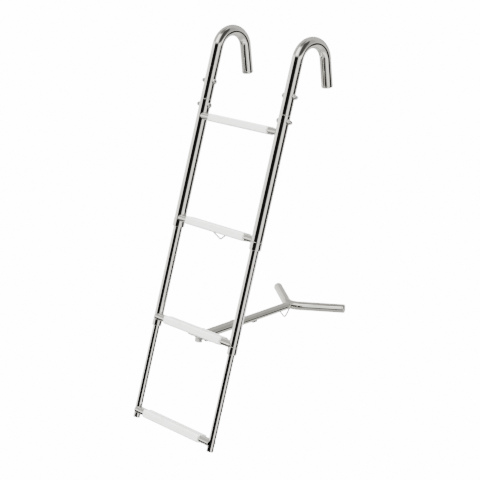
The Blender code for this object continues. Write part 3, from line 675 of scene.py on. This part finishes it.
def rung_tube(number, rail_radius, body):
    """Flat oval tube coped onto both rails."""
    rail_x = abs(node_span("upper_rail_left")[0])
    height = rung_height(number)
    cope = rail_radius + COLLAR_PROUD + COPE_EASE
    outer = oblong(RUNG_DEPTH, RUNG_HEIGHT, RUNG_HEIGHT / 2)
    inner = oblong(RUNG_DEPTH - 2 * WALL, RUNG_HEIGHT - 2 * WALL, RUNG_HEIGHT / 2 - WALL)

    def ring(points, side, back=0.0):
        return [Vector((side * (saddle(cope, y, rail_x) - back), RAIL_Y + y, height + z)) for y, z in points]

    rings = [ring(outer, -1), ring(outer, -1, TUBE_END), ring(outer, 1, TUBE_END), ring(outer, 1)]
    rings += [ring(inner, 1), ring(inner, -1)]
    bm = loft(rings, closed=True)
    piece(f"rung_{number}_bar", bm, POLISHED, body, "polished_steel", f"rung_{number}_tube")
    for name, side in SIDES:
        around = [p for p in ring(outer, side, WELD_PROUD) if abs(p.y - RAIL_Y) < cope - WELD_R]
        bead = rung_beads(around, height, len(around) == len(outer))
        piece(f"rung_{number}_weld_{name}", bead, WELD_STEEL, body, "polished_steel")


def rung_tread(number, body):
    """White moulded sleeve with rounded end lips and lengthwise grip grooves between them."""
    low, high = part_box(f"rung_{number}_tread")
    half = (high[0] - low[0]) / 2
    height = rung_height(number)
    rings = []

    def ring(x, inset=0.0, groove=0.0):
        points = oblong(TREAD_DEPTH - 2 * inset, TREAD_HEIGHT - 2 * inset, TREAD_CORNER - inset, groove)
        rings.append([Vector((x, RAIL_Y + y, height + z)) for y, z in points])

    def end_round(side):
        steps = [math.pi / 2 * i / TREAD_ROUND_STEPS for i in range(TREAD_ROUND_STEPS + 1)]
        for a in steps if side < 0 else reversed(steps):
            inset = TREAD_ROUND * (1 - math.cos(math.pi / 2 - a))
            ring(side * (half - TREAD_ROUND * (1 - math.sin(a))), inset)

    end_round(-1)
    for side in (-1, 1):
        inner = half - TREAD_LIP
        stations = [(half - TREAD_ROUND - SUPPORT, 0.0), (inner + GROOVE_RUN, 0.0), (inner, GROOVE_DEPTH)]
        for x, groove in stations if side < 0 else reversed(stations):
            ring(side * x, 0.0, groove)
    end_round(1)
    bore = oblong(RUNG_DEPTH + GAP, RUNG_HEIGHT + GAP, (RUNG_HEIGHT + GAP) / 2)
    for side in (1, -1):
        rings.append([Vector((side * half, RAIL_Y + y, height + z)) for y, z in bore])
    piece(f"rung_{number}_grip", loft(rings, closed=True), WHITE_PLASTIC, body, "tread_plastic",
          f"rung_{number}_tread", angle=50)


def vee(start, vertex, end, steps=10):
    """Points of a V whose vertex is rounded."""
    a = (start - vertex).normalized()
    b = (end - vertex).normalized()
    half = a.angle(b) / 2
    centre = vertex + (a + b).normalized() * (EYE_BEND_R / math.sin(half))
    first = vertex + a * (EYE_BEND_R / math.tan(half)) - centre
    last = vertex + b * (EYE_BEND_R / math.tan(half)) - centre
    bend = [centre + between(first, last, step / steps) for step in range(steps + 1)]
    leg_in = [start.lerp(bend[0], i / EYE_LEG_STEPS) for i in range(EYE_LEG_STEPS)]
    leg_out = [bend[-1].lerp(end, (i + 1) / EYE_LEG_STEPS) for i in range(EYE_LEG_STEPS)]
    return leg_in + bend + leg_out


def rung_eye():
    """Wire eye under the middle of the second rung."""
    low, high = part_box("rung_eye")
    y = (low[1] + high[1]) / 2
    half = (high[0] - low[0]) / 2 - EYE_WIRE_R / 2
    top = Vector((0.0, y, high[2] - EYE_WIRE_R / 2))
    vertex = Vector((RUNG_EYE_VERTEX, y, low[2] - EYE_WIRE_R / 4))
    points = vee(top - X * half, vertex, top + X * half)
    piece("eye_under_rung", bar(points, EYE_WIRE_R, Y), WIRE_STEEL, "upper_frame", "bolt_steel", "rung_eye")


# ---------------------------------------------------------------- stand-off arm

joints = {joint["name"]: joint for joint in frame["joints"]}
PIVOT = Vector(joints["arm_fold"]["pos_m"])
OUT = Vector(joints["arm_extend"]["axis"]).normalized()
UNDER = OUT.cross(X)


def on_arm(across, along, under):
    return PIVOT + X * across + OUT * along + UNDER * under


ARM_PATH = straight_path(PIVOT, OUT)


def arm_sleeve():
    """Outer tube of the arm."""
    corners = tube_corners(SLEEVE_R, SLEEVE_R - SLEEVE_WALL, SLEEVE_START, SLEEVE_END)
    bm = swept(corners, ARM_PATH, X, closed=True)
    piece("arm_outer_tube", bm, ARM_STEEL, "standoff_arm", "arm_steel", "arm_sleeve")


def sleeve_collar():
    """Steel ring over the sleeve's mouth, closed down to the inner tube in front."""
    start = SLEEVE_END - COLLAR_LENGTH
    lip = SLEEVE_END + GAP
    end = lip + COLLAR_LIP
    corners = [
        (SLEEVE_R + GAP / 3, start, GAP / 3),
        (COLLAR_RING_R, start, COLLAR_ROUND * 0.4),
        (COLLAR_RING_R, end, COLLAR_ROUND),
        (INNER_R + GAP / 2, end, COLLAR_ROUND * 0.3),
        (INNER_R + GAP / 2, lip),
        (SLEEVE_R + GAP / 3, lip),
    ]
    bm = swept(corners, ARM_PATH, X, closed=True)
    piece("arm_mouth_collar", bm, ARM_STEEL, "standoff_arm", "arm_steel", "arm_sleeve_collar")


def arm_inner():
    """Inner tube, ending inside the fork's skin, with the weld round its end."""
    corners = tube_corners(INNER_R, INNER_R - WALL, INNER_START, FORK_ROOT - INNER_SHORT)
    bm = swept(corners, ARM_PATH, X, closed=True)
    piece("arm_slide_tube", bm, ARM_STEEL, "arm_extension", "arm_steel", "arm_inner_tube")
    points = []
    for a in turns(FORK_WELD_POINTS):
        across = (INNER_R + GAP) * math.cos(a)
        under = (INNER_R + GAP) * math.sin(a)
        bend = FORK_BEND_R - math.sqrt(FORK_BEND_R**2 - across**2)
        points.append(on_arm(across, FORK_ROOT + bend - math.sqrt(FORK_R**2 - under**2), under))
    bead = bar(points, FORK_WELD_R, OUT, closed=True, ripple=FORK_WELD_RIPPLE, ripples=20)
    piece("fork_weld", bead, WELD_STEEL, "arm_extension", "arm_steel")


def fork():
    """One tube bent into a shallow V, with welded caps on its tips."""
    bend = 2 * FORK_HALF_BEND
    across = FORK_BEND_R * math.sin(FORK_HALF_BEND) + FORK_LEG * math.cos(FORK_HALF_BEND)
    out = FORK_BEND_R * (1 - math.cos(FORK_HALF_BEND)) + FORK_LEG * math.sin(FORK_HALF_BEND)
    heading = X * math.cos(FORK_HALF_BEND) - OUT * math.sin(FORK_HALF_BEND)
    turn = X * math.sin(FORK_HALF_BEND) + OUT * math.cos(FORK_HALF_BEND)
    path = bend_path(on_arm(-across, FORK_ROOT + out, 0.0), heading, turn, FORK_LEG, FORK_BEND_R, bend)
    length = 2 * FORK_LEG + FORK_BEND_R * bend
    bm = swept(solid_corners(FORK_R, 0.0, length), path, UNDER, step=BEND_STEP)
    piece("arm_fork", bm, ARM_STEEL, "arm_extension", "arm_steel", "fork_tube")
    for name, start, sign in (("left", 0.0, -1), ("right", length, 1)):
        first = start + sign * GAP
        end = start + sign * (CAP_LIP + CAP_BEAD - BEND_EASE)
        corners = [(0.0, first), (FORK_R, first, EDGE / 2), (FORK_R, end, CAP_BEAD), (0.0, end)]
        cap = swept(corners, path, UNDER, steps=CAP_STEPS)
        piece(f"fork_end_{name}", cap, ARM_STEEL, "arm_extension", "arm_steel", "fork_tip_cap_" + name)


def lock_button():
    """Sprung oblong button in the arm's underside, with a rounded face and a flange inside the tube."""
    flange = INNER_R - WALL - BUTTON_FLANGE_DEPTH
    base = flange - BUTTON_FLANGE
    tip = INNER_R + BUTTON_PROUD
    profile = [(0.0, base), (BUTTON_FLANGE_R, base), (BUTTON_FLANGE_R, flange)]
    profile += [(BUTTON_R, flange), (BUTTON_R, tip, BUTTON_ROUND), (0.0, tip)]
    rings = []
    for radius, under in soften(profile, steps=6):
        ring = []
        for a in turns(SMALL_SEGMENTS):
            along = BUTTON_AT + math.copysign(BUTTON_HALF, math.sin(a + TINY)) + radius * math.sin(a)
            ring.append(on_arm(radius * math.cos(a), along, under))
        rings.append(ring)
    ends = [[sum(ring, Vector()) / len(ring)] for ring in (rings[0], rings[-1])]
    bm = loft([ends[0], *rings, ends[1]])
    piece("arm_button", bm, BOLT_STEEL, "lock_button", "bolt_steel", "arm_lock_button")


def arm_eye():
    """Wire eye under the outer end of the arm, from the inner tube to the fork."""
    start = on_arm(0.0, FORK_ROOT - ARM_EYE_START, INNER_R + EYE_WIRE_R * 0.6)
    vertex = on_arm(0.0, FORK_ROOT - ARM_EYE_VERTEX, ARM_EYE_DROP)
    end = on_arm(0.0, FORK_ROOT - ARM_EYE_END, FORK_R - WELD_PROUD)
    points = vee(start, vertex, end)
    piece("eye_under_arm", bar(points, EYE_WIRE_R, X), WIRE_STEEL, "arm_extension", "bolt_steel", "arm_eye")


# ---------------------------------------------------------------- arm bracket


def prism(points, axis, low, high, edge=EDGE):
    """Flat plate: an outline of points pushed along an axis, with its edges rounded."""
    bm = bmesh.new()
    face = bm.faces.new([bm.verts.new(point + axis * low) for point in points])
    made = bmesh.ops.extrude_face_region(bm, geom=[face])["geom"]
    verts = [g for g in made if isinstance(g, bmesh.types.BMVert)]
    bmesh.ops.translate(bm, verts=verts, vec=axis * (high - low))
    bmesh.ops.recalc_face_normals(bm, faces=bm.faces)
    sharp = [e for e in bm.edges if e.calc_face_angle(0.0) > math.radians(40)]
    bmesh.ops.bevel(bm, geom=sharp, offset=edge, segments=2, profile=0.5, affect="EDGES")
    return bm


def arm_bracket():
    """Bracket under the third rung: a web against the tread, a rounded lug and two ears for the pivot."""
    low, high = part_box("arm_bracket")
    outer = high[0]
    web_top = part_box("rung_3_tread")[0][2] - GAP
    web_low = web_top - PLATE
    step_back = RAIL_Y + TREAD_DEPTH / 2 + TREAD_CLEARANCE
    pin_low, pin_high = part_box("arm_stop_pin")
    pin_y = (pin_low[1] + pin_high[1]) / 2
    pin_z = (pin_low[2] + pin_high[2]) / 2
    ear = [(RAIL_Y + EAR_FRONT, web_top), (RAIL_Y + EAR_FRONT, web_low)]
    ear += arc(PIVOT.y, PIVOT.z, PIVOT_LOBE_R, 215, 300, 14)
    ear += arc(pin_y, pin_z, PIN_LOBE_R, 225, 360, 10)
    ear += arc(high[1] - EAR_CORNER, high[2] - EAR_CORNER, EAR_CORNER, 0, 90, 8)
    ear += [(step_back, high[2]), (step_back, web_top)]
    ear = [Vector((0.0, y, z)) for y, z in ear]
    ears = [prism(ear, X * side, outer - PLATE, outer) for side in (-1, 1)]
    web = rectangle(low[1], web_low, RAIL_Y + WEB_BACK, web_top)
    half_web = outer - WEB_SHORT
    bm = merged(prism(web, X, -half_web, half_web), lug((web_low + web_top) / 2, low[2]), *ears)
    piece("bracket_plate", bm, BRACKET_STEEL, "middle_section", "arm_steel", "arm_bracket")


def rectangle(y, z, far_y, far_z):
    """Corners of a rectangle in the YZ plane."""
    return [Vector((0.0, *corner)) for corner in ((y, z), (far_y, z), (far_y, far_z), (y, far_z))]


def lug(top, bottom):
    """Rounded tongue below the web, cut away behind so that the arm's end can turn past it."""
    front = RAIL_Y + LUG_FRONT
    tongue = [(-LUG_HALF, top), (-LUG_HALF, bottom, LUG_ROUND)]
    tongue += [(LUG_HALF, bottom, LUG_ROUND), (LUG_HALF, top)]
    rings = []
    for inset, share in LUG_SECTIONS:
        ring = []
        for x, z in subdivided(soften(tongue, steps=8), False, LUG_STEP):
            rise = min(max((z - bottom - LUG_KNEE_RISE) / LUG_NECK_RISE, 0.0), 1.0)
            back = RAIL_Y + LUG_BACK + (LUG_NECK_BACK - LUG_BACK) * rise
            y = front + (back - front) * share
            ring.append(Vector((x * (1 - inset / LUG_HALF), y, max(z, bottom + inset))))
        rings.append(ring)
    bm = loft(rings)
    bmesh.ops.holes_fill(bm, edges=[edge for edge in bm.edges if edge.is_boundary], sides=0)
    bmesh.ops.recalc_face_normals(bm, faces=bm.faces)
    return bm


def bracket_screw(name):
    """Screw that holds the bracket's web to the rung, its round head below."""
    low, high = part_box("bracket_screw_" + name)
    length = high[2] - low[2]
    path = straight_path(Vector(((low[0] + high[0]) / 2, RAIL_Y, low[2])), Z)
    corners = [(0.0, 0.0), (SCREW_HEAD_R, 0.0, SCREW_HEAD_ROUND), (SCREW_HEAD_R, SCREW_HEAD_LENGTH)]
    corners += [(SCREW_R, SCREW_HEAD_LENGTH), (SCREW_R, length), (0.0, length)]
    bm = swept(corners, path, X, segments=SMALL_SEGMENTS)
    piece("plate_screw_" + name, bm, BOLT_STEEL, "middle_section", "bolt_steel", "bracket_screw_" + name)


def stop_pin(seat):
    """Riveted pin between the ears, with a round head outside each."""
    low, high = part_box("arm_stop_pin")
    centre = Vector((0.0, (low[1] + high[1]) / 2, (low[2] + high[2]) / 2))
    end = high[0]
    corners = [(0.0, -end), (PIN_HEAD_R, -end, PIN_HEAD_ROUND), (PIN_HEAD_R, -seat), (PIN_R, -seat)]
    corners += [(PIN_R, seat), (PIN_HEAD_R, seat), (PIN_HEAD_R, end, PIN_HEAD_ROUND), (0.0, end)]
    bm = swept(corners, straight_path(centre, X), Y, segments=SMALL_SEGMENTS)
    piece("stop_pin", bm, BOLT_STEEL, "middle_section", "bolt_steel", "arm_stop_pin")


def pivot(seat):
    """Bolt that the arm turns on, and its nut."""
    low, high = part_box("arm_pivot_bolt")
    head = hex_head(PIVOT + X * seat, X, Y, PIVOT_HEX_R, high[0] - seat)
    corners = solid_corners(PIVOT_R, low[0], seat + WEB_SHORT)
    shank = swept(corners, straight_path(PIVOT, X), Y, segments=SMALL_SEGMENTS)
    piece("pivot_bolt", merged(head, shank), BOLT_STEEL, "middle_section", "bolt_steel", "arm_pivot_bolt")
    nut_low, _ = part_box("arm_pivot_nut")
    nut = hex_head(PIVOT - X * seat, -X, Y, PIVOT_HEX_R, -seat - nut_low[0])
    piece("pivot_nut", nut, BOLT_STEEL, "middle_section", "bolt_steel", "arm_pivot_nut")


def bracket_fasteners():
    """Screws, stop pin and pivot bolt of the bracket."""
    for name, _ in SIDES:
        bracket_screw(name)
    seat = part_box("arm_bracket")[1][0] + GAP / 3
    stop_pin(seat)
    pivot(seat)


# ---------------------------------------------------------------- hidden CAD nodes that stay


def keep_hidden_nodes():
    """Couplers, slides and the button's spring keep their CAD shape and get a finished material."""
    for node, obj in frame["nodes"].items():
        if node.startswith("hook_coupler"):
            mat = BOLT_STEEL
        elif node == "button_spring":
            mat = SPRING_STEEL
        elif "top_slide" in node:
            mat = BLACK_PLASTIC
        else:
            continue
        obj.data.materials.clear()
        obj.data.materials.append(mat)


# ---------------------------------------------------------------- studio


def glow(name, strength):
    """Plain white emission of one strength."""
    mat = bpy.data.materials.new(name)
    mat.use_nodes = True
    tree = mat.node_tree
    tree.nodes.clear()
    emission = add(tree, "ShaderNodeEmission", Strength=strength)
    output = add(tree, "ShaderNodeOutputMaterial")
    tree.links.new(emission.outputs["Emission"], output.inputs["Surface"])
    return mat


def studio_object(name, bm, strength):
    """Plain emitting object of the studio, not of the ladder. It casts no shadow and lights no plastic."""
    mesh = bpy.data.meshes.new(name)
    bm.to_mesh(mesh)
    bm.free()
    mesh.materials.append(glow(name + "_glow", strength))
    obj = bpy.data.objects.new(name, mesh)
    bpy.context.scene.collection.objects.link(obj)
    obj.visible_diffuse = False
    obj.visible_transmission = False
    obj.visible_shadow = False
    return obj


def backdrop():
    """Pale floor below the hanging ladder and a pale dome round it, which only the camera sees."""
    dome = bmesh.new()
    bmesh.ops.create_uvsphere(dome, u_segments=48, v_segments=24, radius=DOME_DISTANCE)
    floor = bmesh.new()
    bmesh.ops.create_grid(floor, x_segments=1, y_segments=1, size=FLOOR_SIZE)
    bmesh.ops.translate(floor, verts=floor.verts, vec=Z * FLOOR_HEIGHT)
    for name, bm in (("backdrop", dome), ("floor", floor)):
        studio_object(name, bm, BACKDROP_GLOW).visible_glossy = False


# The studio as the steel mirrors it: from, to, lowest, highest, softness, brightness. Bearings are degrees
# from the camera's side, positive to its right, and heights degrees above the horizon. Each patch covers
# those before it.
SURROUNDINGS = 0.72
SURROUNDINGS_TINT = (1.0, 0.99, 0.945, 1.0)
HEIGHT_SOFTNESS = 6
PATCHES = (
    (-220, -62, -16, 12, 12, 1.95),
    (-220, -120, 8, 30, 12, 1.50),
    (88, 220, -60, 12, 20, 1.05),
    (18, 56, -70, 8, 10, 1.75),
    (62, 112, -17, 5, 3, 0.03),
    (34, 80, 4, 9, 3, 2.60),
    (-62, -14, 14, 48, 12, 3.20),
    (-80, 0, 54, 86, 12, 0.27),
    (66, 88, 12, 64, 14, 0.50),
    (2, 66, 10, 66, 12, 0.085),
    (-52, 6, -44, 6, 15, 0.16),
    (-64, 8, -16, 9, 18, 0.010),
)


def band(tree, value, low, high, soft):
    """One between low and high, fading to nothing over the soft width at each end."""
    rise = add(tree, "ShaderNodeMapRange", interpolation_type="SMOOTHSTEP", From_Min=low - soft / 2,
               From_Max=low + soft / 2, To_Min=0.0, To_Max=1.0)
    fall = add(tree, "ShaderNodeMapRange", interpolation_type="SMOOTHSTEP", From_Min=high - soft / 2,
               From_Max=high + soft / 2, To_Min=1.0, To_Max=0.0)
    tree.links.new(value, rise.inputs["Value"])
    tree.links.new(value, fall.inputs["Value"])
    return maths(tree, "MULTIPLY", rise.outputs["Result"], fall.outputs["Result"])


def maths(tree, operation, *values):
    """Result of a maths node whose inputs are sockets or numbers."""
    node = add(tree, "ShaderNodeMath", operation=operation)
    for socket, value in zip(node.inputs, values):
        if isinstance(value, (int, float)):
            socket.default_value = value
        else:
            tree.links.new(value, socket)
    return node.outputs["Value"]


def studio_world():
    """Surroundings that the steel mirrors: soft patches of light and darkness by bearing and height."""
    world = bpy.data.worlds.new("studio")
    bpy.context.scene.world = world
    world.use_nodes = True
    tree = world.node_tree
    background = tree.nodes["Background"]
    coords = add(tree, "ShaderNodeTexCoord")
    split = add(tree, "ShaderNodeSeparateXYZ")
    tree.links.new(coords.outputs["Generated"], split.inputs["Vector"])
    x, y, z = split.outputs
    ahead = maths(tree, "SUBTRACT", x, y)
    across = maths(tree, "ADD", x, y)
    bearing = maths(tree, "DEGREES", maths(tree, "ARCTAN2", across, ahead))
    height = maths(tree, "DEGREES", maths(tree, "ARCSINE", z))
    level = SURROUNDINGS
    for start, end, low, high, soft, brightness in PATCHES:
        beside = band(tree, bearing, start, end, soft)
        level_with = band(tree, height, low, high, min(soft, HEIGHT_SOFTNESS))
        mask = maths(tree, "MULTIPLY", beside, level_with)
        shown = maths(tree, "MULTIPLY", mask, brightness)
        hidden = maths(tree, "SUBTRACT", 1.0, mask)
        level = maths(tree, "MULTIPLY_ADD", hidden, level, shown)
    tree.links.new(level, background.inputs["Strength"])
    background.inputs["Color"].default_value = SURROUNDINGS_TINT


def flag(name, start, end, low, high):
    """Dark screen round part of the ladder, seen only in the steel: bearings as above, heights in metres."""
    bm = bmesh.new()
    columns = []
    for step in range(FLAG_STEPS + 1):
        a = math.radians(start + (end - start) * step / FLAG_STEPS + CAMERA_SIDE)
        place = Vector((math.cos(a), math.sin(a), 0.0)) * FLAG_DISTANCE
        columns.append([bm.verts.new(place + Z * z) for z in (low, high)])
    for first, second in zip(columns, columns[1:]):
        bm.faces.new((first[0], second[0], second[1], first[1]))
    studio_object(name, bm, FLAG_GLOW).visible_camera = False


def fork_card():
    """Small white card that the fork's right arm mirrors in place of the dark camera side."""
    along = (X * math.cos(FORK_HALF_BEND) + OUT * math.sin(FORK_HALF_BEND)).normalized()
    towards = CARD_SIDE.normalized()
    tall = towards.cross(along).normalized()
    wide = tall.cross(towards)
    middle = on_arm(CARD_ACROSS, FORK_ROOT + CARD_BEYOND, 0.0) + towards * CARD_DISTANCE
    across = wide * CARD_HALF_WIDTH
    up = tall * CARD_HALF_HEIGHT
    corners = (middle - across - up, middle + across - up, middle + across + up, middle - across + up)
    bm = bmesh.new()
    bm.faces.new([bm.verts.new(corner) for corner in corners])
    studio_object("fork_card", bm, CARD_GLOW).visible_camera = False


# Broad soft lights for the plastic: name, direction it comes from, strength and spread in degrees
SUNS = (
    ("key_light", (0.35, -0.75, 0.75), 8.8, 70),
    ("right_light", (0.95, -0.30, 0.30), 5.6, 60),
    ("left_light", (-0.6, -0.5, 0.2), 2.4, 80),
    ("low_light", (0.2, -0.3, -0.9), 1.2, 90),
)


def soft_sun(name, direction, strength, spread):
    """Broad soft light that the steel doesn't mirror."""
    light = bpy.data.lights.new(name, "SUN")
    light.energy = strength
    light.angle = math.radians(spread)
    obj = bpy.data.objects.new(name, light)
    obj.rotation_mode = "QUATERNION"
    obj.rotation_quaternion = Vector(direction).to_track_quat("Z", "Y")
    bpy.context.scene.collection.objects.link(obj)
    obj.visible_glossy = False


def studio():
    backdrop()
    studio_world()
    flag("low_flag", -76, 12, -1.60, -1.07)
    flag("front_flag", -128, -68, -2.50, -1.44)
    fork_card()
    for sun in SUNS:
        soft_sun(*sun)


# ---------------------------------------------------------------- camera

CAMERA_PLACE = Vector((2.7133, -2.6721, -0.2344))
CAMERA_BEARING = math.radians(45.01)
CAMERA_DIP = math.radians(4.60)
CAMERA_ROLL = math.radians(12.56)
CAMERA_LENS = 105.2
SENSOR = 36.0


def camera():
    """Long lens at three quarters, a little above the middle, held at a tilt."""
    ahead = Vector((
        -math.sin(CAMERA_BEARING) * math.cos(CAMERA_DIP),
        math.cos(CAMERA_BEARING) * math.cos(CAMERA_DIP),
        -math.sin(CAMERA_DIP),
    ))
    level = Vector((math.cos(CAMERA_BEARING), math.sin(CAMERA_BEARING), 0.0))
    upward = level.cross(ahead)
    right = level * math.cos(CAMERA_ROLL) + upward * math.sin(CAMERA_ROLL)
    top = upward * math.cos(CAMERA_ROLL) - level * math.sin(CAMERA_ROLL)
    data = bpy.data.cameras.new("camera")
    data.sensor_width = SENSOR
    data.lens = CAMERA_LENS
    data.clip_end = 200.0
    obj = bpy.data.objects.new("camera", data)
    basis = Matrix((right, top, -ahead)).transposed()
    obj.matrix_world = Matrix.Translation(CAMERA_PLACE) @ basis.to_4x4()
    bpy.context.scene.collection.objects.link(obj)
    bpy.context.scene.camera = obj


def build():
    camera()
    for name, side in SIDES:
        hook(name)
        hook_joint(name, side)
        rail("upper_rail_" + name, "upper_tube_" + name, UPPER_R, "upper_frame")
        rail("middle_rail_" + name, "middle_tube_" + name, MIDDLE_R, "middle_section")
        rail("lower_rail_" + name, "lower_tube_" + name, LOWER_R, "lower_section")
        ferrule("upper_collar_" + name, "upper_ferrule_" + name, UPPER_R, "upper_frame")
        ferrule("middle_collar_" + name, "middle_ferrule_" + name, MIDDLE_R, "middle_section")
        bush("upper_guide_bush_" + name, "upper_bush_" + name, UPPER_R, MIDDLE_R, "upper_frame")
        bush("middle_guide_bush_" + name, "middle_bush_" + name, MIDDLE_R, LOWER_R, "middle_section")
        foot_plug(name)
    for number, radius, body in (
        (1, UPPER_R, "upper_frame"),
        (2, UPPER_R, "upper_frame"),
        (3, MIDDLE_R, "middle_section"),
        (4, LOWER_R, "lower_section"),
    ):
        rung_tube(number, radius, body)
        rung_tread(number, body)
    rung_eye()
    arm_sleeve()
    sleeve_collar()
    arm_inner()
    fork()
    lock_button()
    arm_eye()
    arm_bracket()
    bracket_fasteners()
    keep_hidden_nodes()
    studio()


build()
